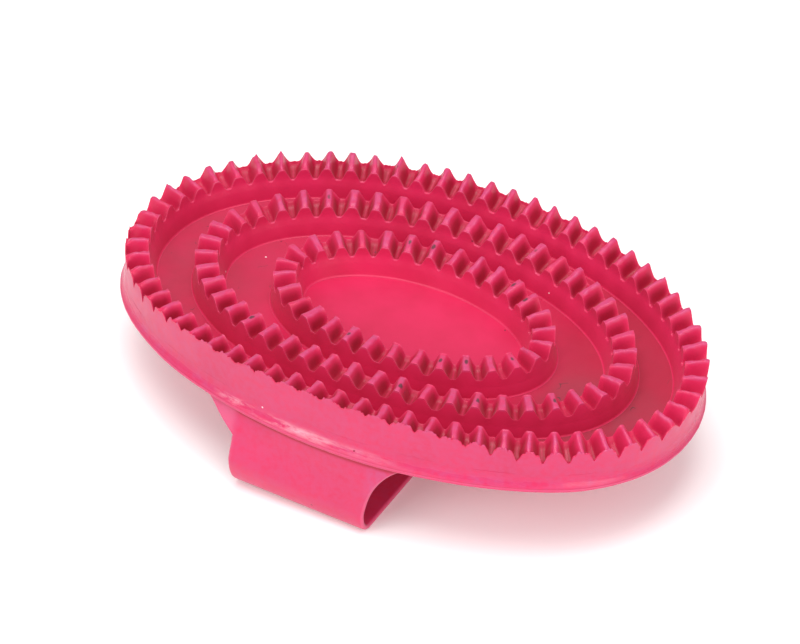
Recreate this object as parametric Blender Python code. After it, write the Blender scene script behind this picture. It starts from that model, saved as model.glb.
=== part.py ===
"""Oval rubber curry comb: a dished backing plate with a rim lip, three oval rings of teeth and a hand strap.

The pad lies level with its teeth up and rests on the strap's flat crown. +X runs along the
pad's length, +Z up through the teeth, and the origin is on the resting plane below the centre.
Everything is rubber of one moulding. Pieces that meet keep GAP between them.
"""

import bpy
import numpy as np

MM = 0.001
GAP = 0.3 * MM

# The pad, measured with its underside level at Z = 0 in the middle
REST_DROP = 21.2 * MM  # from the pad's underside down to the strap's resting face
DISH_RISE = 4.1 * MM  # how far the pad's long sides sit above its middle
DISH_AT = 50 * MM  # distance from the long axis where DISH_RISE is reached
FLOOR_TOP = 4.9 * MM
CREST_TOP = 14.1 * MM
TOOTH_HEIGHT = 3.4 * MM
CREST_WIDTH = 5.9 * MM  # wall thickness at the crests
FOOT_SPREAD = 1.2 * MM  # extra thickness on the inner side at a wall's foot

# Each ring: half length and half width over the crests, roundness, teeth, first tooth
OUTER_RING = (80.0 * MM, 49.6 * MM, 2.1, 64, 0.62)
MIDDLE_RING = (61.5 * MM, 36.9 * MM, 2.04, 46, 0.71)
INNER_RING = (39.3 * MM, 24.0 * MM, 2.02, 30, 0.41)

# Height of a tooth at equal steps of its pitch, as a part of TOOTH_HEIGHT
TOOTH_PROFILE = (1.0, 0.36, 0.0, 0.36)

LIP_REACH = 1.7 * MM
LIP_EDGE = 1.0 * MM  # thickness of the lip at its outer edge
LIP_WIDTH = 4.0 * MM  # from the lip's outer edge in to the plate
PLATE_STATIONS = 96

STRAP_THICKNESS = 1.4 * MM
STRAP_HALF_WIDTH = 17.9 * MM
STRAP_FLARE = 9.6 * MM  # extra half width where the strap meets the pad
STRAP_FLARE_DEPTH = 5.0 * MM
STRAP_OFFSET_X = -4.5 * MM
STRAP_ROOT_INSET = 2.9 * MM  # root centre line to the lip's edge
STRAP_SIDE_Y = 50.4 * MM  # centre line of a leg just above its bend
STRAP_BOW = 1.0 * MM  # outward bulge of a leg
STRAP_BEND = 4.6 * MM  # centre line radius of the bend into the crown

SKIN = (0.80, 0.062, 0.165, 1.0)
SHADE = (0.74, 0.047, 0.135, 1.0)


def clear_scene():
    for item in list(bpy.data.objects):
        bpy.data.objects.remove(item, do_unlink=True)


def rubber(name, colour, roughness):
    material = bpy.data.materials.new(name)
    material.use_nodes = True
    shader = material.node_tree.nodes["Principled BSDF"]
    shader.inputs["Base Color"].default_value = colour
    shader.inputs["Roughness"].default_value = roughness
    shader.inputs["Metallic"].default_value = 0.0
    material.diffuse_color = colour
    return material


def oval(half_length, half_width, power, count, first=0.0):
    """Points at equal steps round an oval, and its outward normals."""
    turn = np.linspace(0, 2 * np.pi, 4001) + 1e-6
    cosine, sine = np.cos(turn), np.sin(turn)
    x = half_length * np.sign(cosine) * np.abs(cosine) ** (2 / power)
    y = half_width * np.sign(sine) * np.abs(sine) ** (2 / power)
    along = np.concatenate([[0], np.cumsum(np.hypot(np.diff(x), np.diff(y)))])
    wanted = (np.arange(count) + first) % count * along[-1] / count
    x, y = np.interp(wanted, along, x), np.interp(wanted, along, y)
    nx = np.sign(x) * np.abs(x / half_length) ** (power - 1) / half_length
    ny = np.sign(y) * np.abs(y / half_width) ** (power - 1) / half_width
    length = np.hypot(nx, ny)
    return np.stack([x, y], 1), np.stack([nx / length, ny / length], 1)


def dish(y):
    return DISH_RISE * (y / DISH_AT) ** 2


def grid_faces(rows, columns, wrap_rows, wrap_columns):
    """Quads over a grid of points numbered row by row."""
    i, j = np.meshgrid(
        np.arange(rows if wrap_rows else rows - 1),
        np.arange(columns if wrap_columns else columns - 1),
        indexing="ij",
    )
    below, right = (i + 1) % rows, (j + 1) % columns
    corners = (i * columns + j, below * columns + j, below * columns + right, i * columns + right)
    return np.stack([c.ravel() for c in corners], 1).tolist()


def add_solid(name, points, faces, parent, height, material):
    """A mesh object from points in metres, seated at a height above the parent."""
    mesh = bpy.data.meshes.new(name)
    mesh.from_pydata(points.reshape(-1, 3).tolist(), [], faces)
    mesh.validate()
    mesh.update()
    mesh.shade_smooth()
    mesh.set_sharp_from_angle(angle=np.radians(34))
    mesh.materials.append(material)
    solid = bpy.data.objects.new(name, mesh)
    bpy.context.scene.collection.objects.link(solid)
    solid.parent = parent
    solid.location = (0, 0, height)
    return solid


def swept_ring(base, normals, offsets, heights):
    """A closed section carried round an oval: offsets inward, heights above the seat."""
    x = base[:, None, 0] - offsets * normals[:, None, 0]
    y = base[:, None, 1] - offsets * normals[:, None, 1]
    points = np.stack([x, y, heights + dish(y)], 2)
    return points, grid_faces(points.shape[0], points.shape[1], True, True)


def tooth_ring(name, ring, parent, material):
    """An oval wall whose top is cut into teeth that run straight across it."""
    half_length, half_width, power, teeth, first = ring
    steps = len(TOOTH_PROFILE)
    base, normals = oval(half_length, half_width, power, teeth * steps, first * steps)
    tall = CREST_TOP - FLOOR_TOP - GAP
    top = tall - TOOTH_HEIGHT * (1 - np.tile(TOOTH_PROFILE, teeth))
    foot = np.zeros_like(top)
    valley = tall - TOOTH_HEIGHT
    heights = np.stack([foot, top, top, foot + valley - TOOTH_HEIGHT, foot], 1)
    inner = (0, 0, CREST_WIDTH, CREST_WIDTH + 0.3 * FOOT_SPREAD, CREST_WIDTH + FOOT_SPREAD)
    offsets = np.tile(np.array(inner), (len(base), 1))
    points, faces = swept_ring(base, normals, offsets, heights)
    return add_solid(name, points, faces, parent, FLOOR_TOP + GAP, material)


def rim_lip(parent, material):
    """The thin flange round the pad's foot, with a cove up to the outer wall."""
    base, normals = oval(*OUTER_RING[:3], PLATE_STATIONS)
    section = np.array(
        [
            (-LIP_REACH, 0),
            (-LIP_REACH, LIP_EDGE),
            (-0.35 * LIP_REACH, 0.42 * FLOOR_TOP),
            (0, FLOOR_TOP),
            (LIP_WIDTH - LIP_REACH, FLOOR_TOP),
            (LIP_WIDTH - LIP_REACH, 0),
        ]
    )
    offsets = np.tile(section[:, 0], (len(base), 1))
    points, faces = swept_ring(base, normals, offsets, np.tile(section[:, 1], (len(base), 1)))
    return add_solid("rim_lip", points, faces, parent, 0, material)


def backing_plate(parent, material):
    """The dished floor that the rings stand on, inside the lip."""
    base, normals = oval(*OUTER_RING[:3], PLATE_STATIONS)
    edge = base - (LIP_WIDTH - LIP_REACH + GAP) * normals
    spans = np.array([0.34, 0.67, 1.0])
    shares = np.concatenate([spans, spans[::-1]])
    heights = np.concatenate([np.zeros(3), np.full(3, FLOOR_TOP)])
    xy = edge[None] * shares[:, None, None]
    z = heights[:, None] + dish(xy[..., 1])
    points = np.concatenate([xy, z[..., None]], 2).reshape(-1, 3)
    count = PLATE_STATIONS
    faces = [face[::-1] for face in grid_faces(len(shares), count, False, True)]
    bottom, top = len(points), len(points) + 1
    last = (len(shares) - 1) * count
    for i in range(count):
        j = (i + 1) % count
        faces.append((bottom, j, i))
        faces.append((top, last + i, last + j))
    points = np.concatenate([points, [(0, 0, 0), (0, 0, FLOOR_TOP)]])
    return add_solid("backing_plate", points, faces, parent, 0, material)


def strap_leg(across, share):
    """Centre surface of the near leg: share runs 0 at the root to 1 at the bend."""
    reach = OUTER_RING[0] + LIP_REACH - STRAP_ROOT_INSET
    side = OUTER_RING[1] + LIP_REACH - STRAP_ROOT_INSET
    depth = share * (REST_DROP + dish(side) - STRAP_BEND)
    x = STRAP_OFFSET_X + across * (
        STRAP_HALF_WIDTH + STRAP_FLARE * np.exp(-depth / STRAP_FLARE_DEPTH)
    )
    root_y = side * (1 - np.abs(x / reach) ** OUTER_RING[2]) ** (1 / OUTER_RING[2])
    settle = np.clip(share / 0.55, 0, 1)
    settle = settle * settle * (3 - 2 * settle)
    y = root_y + (STRAP_SIDE_Y - root_y) * settle + STRAP_BOW * np.sin(np.pi * share)
    start = dish(root_y) - GAP
    z = start + (STRAP_BEND + 0.5 * STRAP_THICKNESS - REST_DROP - start) * share
    return np.stack([x, -y, z], -1)


def hand_strap(parent, material):
    """A flat band from side to side under the pad, flared where it joins it."""
    across = np.linspace(-1, 1, 7)[None, :]
    leg = strap_leg(across, np.linspace(0, 1, 13)[:, None])
    turn = np.radians(np.array([18, 36, 54, 72, 90]))[:, None]
    edge_x = leg[-1:, :, 0]
    low = 0.5 * STRAP_THICKNESS - REST_DROP
    bend = np.stack(
        np.broadcast_arrays(
            edge_x,
            -(STRAP_SIDE_Y - STRAP_BEND * (1 - np.cos(turn))),
            low + STRAP_BEND * (1 - np.sin(turn)),
        ),
        -1,
    )
    near = np.concatenate([leg, bend])
    far = near[::-1] * np.array([1, -1, 1])
    centre = np.concatenate([near, far])
    ahead = np.gradient(centre, axis=0)
    aside = np.gradient(centre, axis=1)
    normal = np.cross(ahead, aside)
    normal /= np.linalg.norm(normal, axis=2, keepdims=True)
    normal[[0, -1], :, 2] = 0
    inside = centre + 0.5 * STRAP_THICKNESS * normal
    outside = centre - 0.5 * STRAP_THICKNESS * normal
    rows, columns = centre.shape[:2]
    section = np.concatenate([inside, outside[:, ::-1]], 1)
    faces = grid_faces(rows, 2 * columns, False, True)
    for row in (0, rows - 1):
        start = row * 2 * columns
        for k in range(columns - 1):
            quad = (start + k, start + k + 1, start + 2 * columns - 2 - k, start + 2 * columns - 1 - k)
            faces.append(quad if row == 0 else quad[::-1])
    return add_solid("hand_strap", section, faces, parent, 0, material)


def main():
    clear_scene()
    bpy.context.scene.unit_settings.scale_length = 1.0
    comb = bpy.data.objects.new("curry_comb", None)
    comb.location = (0, 0, REST_DROP)
    bpy.context.scene.collection.objects.link(comb)
    backing_plate(comb, rubber("plate_rubber", SHADE, 0.5))
    rim_lip(comb, rubber("lip_rubber", SKIN, 0.42))
    tooth_ring("outer_tooth_ring", OUTER_RING, comb, rubber("outer_ring_rubber", SKIN, 0.45))
    tooth_ring("middle_tooth_ring", MIDDLE_RING, comb, rubber("middle_ring_rubber", SHADE, 0.48))
    tooth_ring("inner_tooth_ring", INNER_RING, comb, rubber("inner_ring_rubber", SHADE, 0.48))
    hand_strap(comb, rubber("strap_rubber", SKIN, 0.4))


main()
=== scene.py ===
"""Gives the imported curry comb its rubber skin, piece by piece, and stands it in a pale studio."""

import math

import bpy
import numpy as np
from mathutils import Matrix, Vector


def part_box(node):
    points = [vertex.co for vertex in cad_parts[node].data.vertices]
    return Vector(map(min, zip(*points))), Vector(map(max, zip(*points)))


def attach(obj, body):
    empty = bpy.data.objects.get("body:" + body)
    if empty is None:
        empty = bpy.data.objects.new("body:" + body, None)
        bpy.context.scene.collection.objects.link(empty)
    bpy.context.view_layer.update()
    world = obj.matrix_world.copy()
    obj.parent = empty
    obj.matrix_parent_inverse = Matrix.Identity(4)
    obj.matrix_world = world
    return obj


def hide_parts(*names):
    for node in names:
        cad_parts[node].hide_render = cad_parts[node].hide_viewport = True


bl_info = {
    "name": "Rubber Curry Comb",
    "version": (1, 0, 0),
    "blender": (4, 5, 0),
    "location": "View3D > Sidebar > Curry Comb",
    "description": "Moulds an oval rubber curry comb: plate, lip, rings of teeth and hand strap",
    "category": "Add Mesh",
}

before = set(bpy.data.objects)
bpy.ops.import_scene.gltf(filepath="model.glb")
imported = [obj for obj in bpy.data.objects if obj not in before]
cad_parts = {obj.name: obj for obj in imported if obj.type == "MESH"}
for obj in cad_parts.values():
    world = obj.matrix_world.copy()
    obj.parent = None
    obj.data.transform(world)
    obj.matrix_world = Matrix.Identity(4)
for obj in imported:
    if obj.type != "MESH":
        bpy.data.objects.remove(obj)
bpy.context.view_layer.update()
MM = 0.001

PLATE_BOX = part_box("backing_plate")
LIP_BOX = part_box("rim_lip")
OUTER_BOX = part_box("outer_tooth_ring")
MIDDLE_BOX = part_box("middle_tooth_ring")
INNER_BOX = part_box("inner_tooth_ring")
STRAP_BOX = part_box("hand_strap")

REST_DROP = PLATE_BOX[0].z  # underside of the plate's middle
DISH_AT = 50 * MM
DISH_RISE = (LIP_BOX[1].z - REST_DROP - 4.9 * MM) * (DISH_AT / OUTER_BOX[1].y) ** 2
STRAP_MIDDLE = (STRAP_BOX[0].x + STRAP_BOX[1].x) / 2
OUTER_POWER, MIDDLE_POWER, INNER_POWER = 2.1, 2.04, 2.02  # how square each oval's ends are
STATIONS_PER_TOOTH = 30
TOOTH_PITCH = 6.6 * MM
VALLEY_DUST = 0.2
MARKS = ("wear_and_highlight", "dust", "burr_and_highlight", "grime", "gloss", "scuff_and_highlight", "painted_shade")


def length_setting(name, description, default):
    return bpy.props.FloatProperty(name=name, description=description, default=default, subtype="DISTANCE")


def colour_setting(name, description, default):
    return bpy.props.FloatVectorProperty(
        name=name, description=description, default=default, size=3, subtype="COLOR"
    )


def number_setting(name, description, default):
    return bpy.props.FloatProperty(name=name, description=description, default=default)


class CombSizes(bpy.types.PropertyGroup):
    tooth_height: length_setting("Tooth height", "Crest to valley", 3.6 * MM)
    crest_width: length_setting("Wall width", "Wall thickness at the crests", 5.9 * MM)
    floor_top: length_setting("Floor height", "Plate thickness", 4.9 * MM)
    crest_top: length_setting("Crest height", "Plate underside to crests", 14.1 * MM)
    foot_radius: length_setting("Foot radius", "Fillet at a wall's foot", 0.45 * MM)
    lip_reach: length_setting("Lip reach", "How far the lip stands out", LIP_BOX[1].x - OUTER_BOX[1].x)
    strap_thickness: length_setting("Strap thickness", "Band thickness", 1.4 * MM)
    strap_half_width: length_setting("Strap half width", "Half of the plain band", 17.9 * MM)
    strap_offset: length_setting("Strap offset", "Strap's centre from the pad's", STRAP_MIDDLE)


class RubberColours(bpy.types.PropertyGroup):
    skin: colour_setting("Skin", "Clean rubber", (0.625, 0.0155, 0.086))
    deep: colour_setting("Deep", "Darker mottling", (0.50, 0.0105, 0.055))
    # Wear and painted highlight: paler crest tops from wear, and paler patches painted where the lip's cove
    # and the strap's web catch the light.
    wear_and_highlight: colour_setting("Wear and highlight", "Rubbed edges and painted highlights", (0.525, 0.052, 0.16))
    dust: colour_setting("Dust", "Dull film in corners", (0.30, 0.044, 0.07))
    # Moulding edges, and also a faint painted highlight along each valley floor.
    burr_and_highlight: colour_setting("Burr", "Thin moulding edge and valley highlight", (0.62, 0.09, 0.19))
    # Painted shade: the deep red laid into the dips between teeth, into the right-hand channels of the
    # plate and along the strap's root under the lip.
    painted_shade: colour_setting("Painted shade colour", "Painted shade between teeth and under the lip", (0.33, 0.0040, 0.022))
    # Scuffing and painted highlight: whitened streaks along the front of the lip's cove, where it catches
    # the light.
    scuff_and_highlight: colour_setting("Scuff", "Whitened scuffs and painted highlight", (0.74, 0.36, 0.43))
    grime: colour_setting("Grime", "Stable dirt", (0.06, 0.025, 0.028))
    pale_speck: colour_setting("Pale specks", "Dust grains", (0.80, 0.52, 0.56))
    dark_speck: colour_setting("Dark specks", "Pits and dirt grains", (0.26, 0.015, 0.045))
    hair: colour_setting("Hairs", "Short hairs on the floor", (0.10, 0.03, 0.04))


class StudioSettings(bpy.types.PropertyGroup):
    floor: colour_setting("Floor", "Floor colour", (0.97, 0.97, 0.97))
    glow: number_setting("Floor glow", "Light given off by the floor", 0.07)
    sky: number_setting("Sky", "Light from all round", 0.58)
    key: number_setting("Key", "Main softbox, in watts", 7.6)
    fill: number_setting("Fill", "Softbox on the right, in watts", 8.6)
    top: number_setting("Top", "Overhead softbox, in watts", 12.0)
    distance: length_setting("Camera distance", "Camera to pad", 1.22235)


def eased(value, start, end):
    """A smooth step: 0 before start, 1 after end, and 3t^2 - 2t^3 between."""
    share = np.clip((value - start) / (end - start), 0, 1)
    return share * share * (3 - 2 * share)


def wander(points, wavelength, seed):
    """Smooth unevenness: the mean of eight sine waves, each with its own direction and length."""
    rng = np.random.default_rng(seed)
    directions = rng.normal(size=(8, 3))
    directions /= np.linalg.norm(directions, axis=1, keepdims=True)
    directions *= 2 * np.pi / (wavelength * rng.uniform(0.7, 1.4, 8))[:, None]
    return np.sin(points @ directions.T + rng.uniform(0, 6.28, 8)).mean(-1) * 1.8


def ragged(count, knots, seed):
    """A torn edge: random values at evenly spaced knots round the ring, joined by straight lines."""
    values = np.random.default_rng(seed).uniform(-1, 1, knots)
    return np.interp(np.arange(count) * knots / count, np.arange(knots + 1), np.append(values, values[0]))


def settled(values):
    """Each value along the first axis averaged with its neighbours, 1-2-1, round the loop."""
    return 0.25 * np.roll(values, 1, 0) + 0.5 * values + 0.25 * np.roll(values, -1, 0)


def oval_path(half_length, half_width, power, count, first=0.0):
    """|x/a|^p + |y/b|^p = 1 at equal steps of its length, with outward normals."""

    def oval(turn):
        cosine, sine = np.cos(turn), np.sin(turn)
        x = half_length * np.sign(cosine) * np.abs(cosine) ** (2 / power)
        return x, half_width * np.sign(sine) * np.abs(sine) ** (2 / power)

    turn = np.linspace(0, 2 * np.pi, 8001) + 1e-6
    x, y = oval(turn)
    along = np.concatenate([[0], np.cumsum(np.hypot(np.diff(x), np.diff(y)))])
    wanted = (np.arange(count) + first) % count * along[-1] / count
    x, y = oval(np.interp(wanted, along, turn))
    nx = np.sign(x) * np.abs(x / half_length) ** (power - 1) / half_length
    ny = np.sign(y) * np.abs(y / half_width) ** (power - 1) / half_width
    length = np.hypot(nx, ny)
    return np.stack([x, y], 1), np.stack([nx / length, ny / length], 1)


def seated(x, y, height):
    """Points at a height over the dished plate's underside. The soft right end leans out at the top
    and in at the lip, the left end is drawn out a little."""
    leaning = 0.178 * eased(x, 60 * MM, 82 * MM) * (height - 9 * MM)
    x = x + leaning - 0.8 * MM * eased(-x, 60 * MM, 80 * MM)
    return np.stack([x, y, height + REST_DROP + DISH_RISE * (y / DISH_AT) ** 2], -1)


def lip_sag(x, y, height):
    """How far the strap's pull draws the near lip down: a bell, 2.2 mm deep, fading up the wall."""
    near = eased(-y, 8 * MM, 40 * MM)
    return 2.2 * MM * near * np.exp(-(((x - 2 * MM) / (42 * MM)) ** 2)) * (1 - eased(height, 0, 9 * MM))


def grid_quads(rows, columns, wrap_rows, wrap_columns):
    """Quads between neighbouring rows and columns of points numbered row by row."""
    i, j = np.meshgrid(
        np.arange(rows if wrap_rows else rows - 1),
        np.arange(columns if wrap_columns else columns - 1),
        indexing="ij",
    )
    below, right = (i + 1) % rows, (j + 1) % columns
    return np.stack(
        [i * columns + j, below * columns + j, below * columns + right, i * columns + right], -1
    ).reshape(-1, 4)


def skin_piece(name, points, faces, marks, crease, material, node_names):
    """Puts the points and faces in a mesh, stores the marks, and gives the piece its body and nodes."""
    mesh = bpy.data.meshes.new(name)
    mesh.from_pydata(points.reshape(-1, 3).tolist(), [], faces)
    mesh.update()
    for mark in MARKS:
        layer = mesh.attributes.new(mark, "FLOAT", "POINT")
        values = np.zeros(len(mesh.vertices), np.float32)
        if mark in marks:
            values[: marks[mark].size] = marks[mark].ravel()
        layer.data.foreach_set("value", values)
    mesh.shade_smooth()
    mesh.set_sharp_from_angle(angle=math.radians(crease))
    mesh.materials.append(material)
    piece = bpy.data.objects.new(name, mesh)
    bpy.context.scene.collection.objects.link(piece)
    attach(piece, "root")
    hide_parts(*node_names)
    return piece


def rubber_material(name, roughness, mottle, dust_amount, hairs):
    """Moulded rubber: mottled skin, crest tops paler from wear, painted highlights on the lip's cove and
    the strap's web, whitened scuffs, painted shade between the teeth, in the channels and under the lip, a
    film of dust, dirt, specks, grain and gloss.
    """
    material = bpy.data.materials.new(name)
    material.use_nodes = True
    tree = material.node_tree
    nodes, links = tree.nodes, tree.links
    nodes.clear()
    colours = bpy.context.scene.rubber_colours

    place = nodes.new("ShaderNodeTexCoord")
    place.label = "Place on the comb"

    colour_frame = nodes.new("NodeFrame")
    colour_frame.label = "Skin colour"
    mottling = nodes.new("ShaderNodeTexNoise")
    mottling.label = "Broad mottling"
    mottling.inputs["Scale"].default_value = 75.0
    mottling.inputs["Detail"].default_value = 3.0
    mottling.inputs["Roughness"].default_value = 0.55
    mottling_range = nodes.new("ShaderNodeMapRange")
    mottling_range.label = "Mottling strength"
    mottling_range.inputs["From Min"].default_value = 0.38
    mottling_range.inputs["From Max"].default_value = 0.68
    mottling_range.inputs["To Max"].default_value = mottle
    skin_mix = nodes.new("ShaderNodeMix")
    skin_mix.label = "Skin and deeper patches"
    skin_mix.data_type = "RGBA"
    skin_mix.inputs[6].default_value = (*colours.skin, 1)
    skin_mix.inputs[7].default_value = (*colours.deep, 1)
    # Painted shade: the deep red mixed in where shade falls, between the teeth, in the channels and under
    # the lip.
    painted_shade_mark = nodes.new("ShaderNodeAttribute")
    painted_shade_mark.label = "Painted shade places"
    painted_shade_mark.attribute_name = "painted_shade"
    painted_shade_mix = nodes.new("ShaderNodeMix")
    painted_shade_mix.label = "Deeper red painted shade"
    painted_shade_mix.data_type = "RGBA"
    painted_shade_mix.inputs[7].default_value = (*colours.painted_shade, 1)
    links.new(painted_shade_mark.outputs["Fac"], painted_shade_mix.inputs[0])
    links.new(skin_mix.outputs[2], painted_shade_mix.inputs[6])
    links.new(place.outputs["Object"], mottling.inputs["Vector"])
    links.new(mottling.outputs["Fac"], mottling_range.inputs["Value"])
    links.new(mottling_range.outputs["Result"], skin_mix.inputs[0])

    wear_frame = nodes.new("NodeFrame")
    wear_frame.label = "Rubbed and dusty places"
    # Wear and painted highlight: the paler colour, broken into patches; real wear on the crest tops,
    # painted highlight on the lip's cove and the strap's web.
    wear_highlight_mark = nodes.new("ShaderNodeAttribute")
    wear_highlight_mark.label = "Rubbed crests and painted highlights"
    wear_highlight_mark.attribute_name = "wear_and_highlight"
    scuffs = nodes.new("ShaderNodeTexNoise")
    scuffs.label = "Scuff pattern"
    scuffs.inputs["Scale"].default_value = 620.0
    scuffs.inputs["Detail"].default_value = 4.0
    scuff_range = nodes.new("ShaderNodeMapRange")
    scuff_range.label = "Patchy rubbing"
    scuff_range.inputs["From Min"].default_value = 0.3
    scuff_range.inputs["From Max"].default_value = 0.62
    scuff_range.inputs["To Min"].default_value = 0.35
    wear_highlight_amount = nodes.new("ShaderNodeMath")
    wear_highlight_amount.label = "Rubbed where it is worn"
    wear_highlight_amount.operation = "MULTIPLY"
    wear_highlight_amount.use_clamp = True
    wear_highlight_mix = nodes.new("ShaderNodeMix")
    wear_highlight_mix.label = "Rubbed rubber and painted highlights"
    wear_highlight_mix.data_type = "RGBA"
    wear_highlight_mix.inputs[7].default_value = (*colours.wear_and_highlight, 1)
    links.new(place.outputs["Object"], scuffs.inputs["Vector"])
    links.new(scuffs.outputs["Fac"], scuff_range.inputs["Value"])
    links.new(wear_highlight_mark.outputs["Fac"], wear_highlight_amount.inputs[0])
    links.new(scuff_range.outputs["Result"], wear_highlight_amount.inputs[1])
    links.new(wear_highlight_amount.outputs[0], wear_highlight_mix.inputs[0])
    links.new(painted_shade_mix.outputs[2], wear_highlight_mix.inputs[6])

    dust_mark = nodes.new("ShaderNodeAttribute")
    dust_mark.label = "Dusty corners"
    dust_mark.attribute_name = "dust"
    dust_clouds = nodes.new("ShaderNodeTexNoise")
    dust_clouds.label = "Dust clouds"
    dust_clouds.inputs["Scale"].default_value = 130.0
    dust_clouds.inputs["Detail"].default_value = 5.0
    dust_range = nodes.new("ShaderNodeMapRange")
    dust_range.label = "Cloud strength"
    dust_range.inputs["From Min"].default_value = 0.3
    dust_range.inputs["From Max"].default_value = 0.7
    dust_range.inputs["To Min"].default_value = 0.45 * dust_amount
    dust_range.inputs["To Max"].default_value = dust_amount
    dust_fill = nodes.new("ShaderNodeMath")
    dust_fill.label = "Dust where it settles"
    dust_fill.operation = "MULTIPLY"
    dust_fill.use_clamp = True
    dust_mix = nodes.new("ShaderNodeMix")
    dust_mix.label = "Dust film"
    dust_mix.data_type = "RGBA"
    dust_mix.inputs[7].default_value = (*colours.dust, 1)
    links.new(place.outputs["Object"], dust_clouds.inputs["Vector"])
    links.new(dust_clouds.outputs["Fac"], dust_range.inputs["Value"])
    links.new(dust_mark.outputs["Fac"], dust_fill.inputs[0])
    links.new(dust_range.outputs["Result"], dust_fill.inputs[1])
    links.new(dust_fill.outputs[0], dust_mix.inputs[0])
    links.new(wear_highlight_mix.outputs[2], dust_mix.inputs[6])

    # Pale moulding edges, and a faint painted highlight along the valley floors.
    burr_highlight_mark = nodes.new("ShaderNodeAttribute")
    burr_highlight_mark.label = "Moulding edges"
    burr_highlight_mark.attribute_name = "burr_and_highlight"
    burr_highlight_mix = nodes.new("ShaderNodeMix")
    burr_highlight_mix.label = "Pale moulding edge"
    burr_highlight_mix.data_type = "RGBA"
    burr_highlight_mix.inputs[7].default_value = (*colours.burr_and_highlight, 1)
    links.new(burr_highlight_mark.outputs["Fac"], burr_highlight_mix.inputs[0])
    links.new(dust_mix.outputs[2], burr_highlight_mix.inputs[6])

    # Scuffing and painted highlight: whitened streaks drawn out along the rim, in the front of the cove.
    scuff_highlight_mark = nodes.new("ShaderNodeAttribute")
    scuff_highlight_mark.label = "Scuffed cove and painted highlight"
    scuff_highlight_mark.attribute_name = "scuff_and_highlight"
    scuff_streaks = nodes.new("ShaderNodeTexNoise")
    scuff_streaks.label = "Scuff streaks"
    scuff_streaks.inputs["Scale"].default_value = 330.0
    scuff_streaks.inputs["Detail"].default_value = 6.0
    scuff_streaks.inputs["Roughness"].default_value = 0.7
    along_rim = nodes.new("ShaderNodeMapping")
    along_rim.label = "Drawn out along the rim"
    along_rim.inputs["Scale"].default_value = (0.3, 1.0, 1.5)
    scuff_cut = nodes.new("ShaderNodeMapRange")
    scuff_cut.label = "Broken streaks"
    scuff_cut.inputs["From Min"].default_value = 0.45
    scuff_cut.inputs["From Max"].default_value = 0.62
    scuff_highlight_fill = nodes.new("ShaderNodeMath")
    scuff_highlight_fill.label = "Scuffs and painted highlight in the cove"
    scuff_highlight_fill.operation = "MULTIPLY"
    scuff_highlight_fill.use_clamp = True
    scuff_highlight_mix = nodes.new("ShaderNodeMix")
    scuff_highlight_mix.label = "Whitened scuffs and painted highlight"
    scuff_highlight_mix.data_type = "RGBA"
    scuff_highlight_mix.inputs[7].default_value = (*colours.scuff_and_highlight, 1)
    links.new(place.outputs["Object"], along_rim.inputs["Vector"])
    links.new(along_rim.outputs["Vector"], scuff_streaks.inputs["Vector"])
    links.new(scuff_streaks.outputs["Fac"], scuff_cut.inputs["Value"])
    links.new(scuff_highlight_mark.outputs["Fac"], scuff_highlight_fill.inputs[0])
    links.new(scuff_cut.outputs["Result"], scuff_highlight_fill.inputs[1])
    links.new(scuff_highlight_fill.outputs[0], scuff_highlight_mix.inputs[0])
    links.new(burr_highlight_mix.outputs[2], scuff_highlight_mix.inputs[6])

    dirt_frame = nodes.new("NodeFrame")
    dirt_frame.label = "Dirt, specks and hairs"
    grime_mark = nodes.new("ShaderNodeAttribute")
    grime_mark.label = "Dirty crests"
    grime_mark.attribute_name = "grime"
    grime_grain = nodes.new("ShaderNodeTexNoise")
    grime_grain.label = "Dirt grain"
    grime_grain.inputs["Scale"].default_value = 1500.0
    grime_grain.inputs["Detail"].default_value = 3.0
    grime_edge = nodes.new("ShaderNodeMath")
    grime_edge.label = "Broken edge of the dirt"
    grime_edge.operation = "MULTIPLY_ADD"
    grime_edge.inputs[1].default_value = 2.4
    grime_range = nodes.new("ShaderNodeMapRange")
    grime_range.label = "Dirt cover"
    grime_range.inputs["From Min"].default_value = 1.35
    grime_range.inputs["From Max"].default_value = 2.1
    grime_range.inputs["To Max"].default_value = 0.85
    grime_mix = nodes.new("ShaderNodeMix")
    grime_mix.label = "Stable dirt"
    grime_mix.data_type = "RGBA"
    grime_mix.inputs[7].default_value = (*colours.grime, 1)
    links.new(place.outputs["Object"], grime_grain.inputs["Vector"])
    links.new(grime_mark.outputs["Fac"], grime_edge.inputs[0])
    links.new(grime_grain.outputs["Fac"], grime_edge.inputs[2])
    links.new(grime_edge.outputs[0], grime_range.inputs["Value"])
    links.new(grime_range.outputs["Result"], grime_mix.inputs[0])
    links.new(scuff_highlight_mix.outputs[2], grime_mix.inputs[6])

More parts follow.
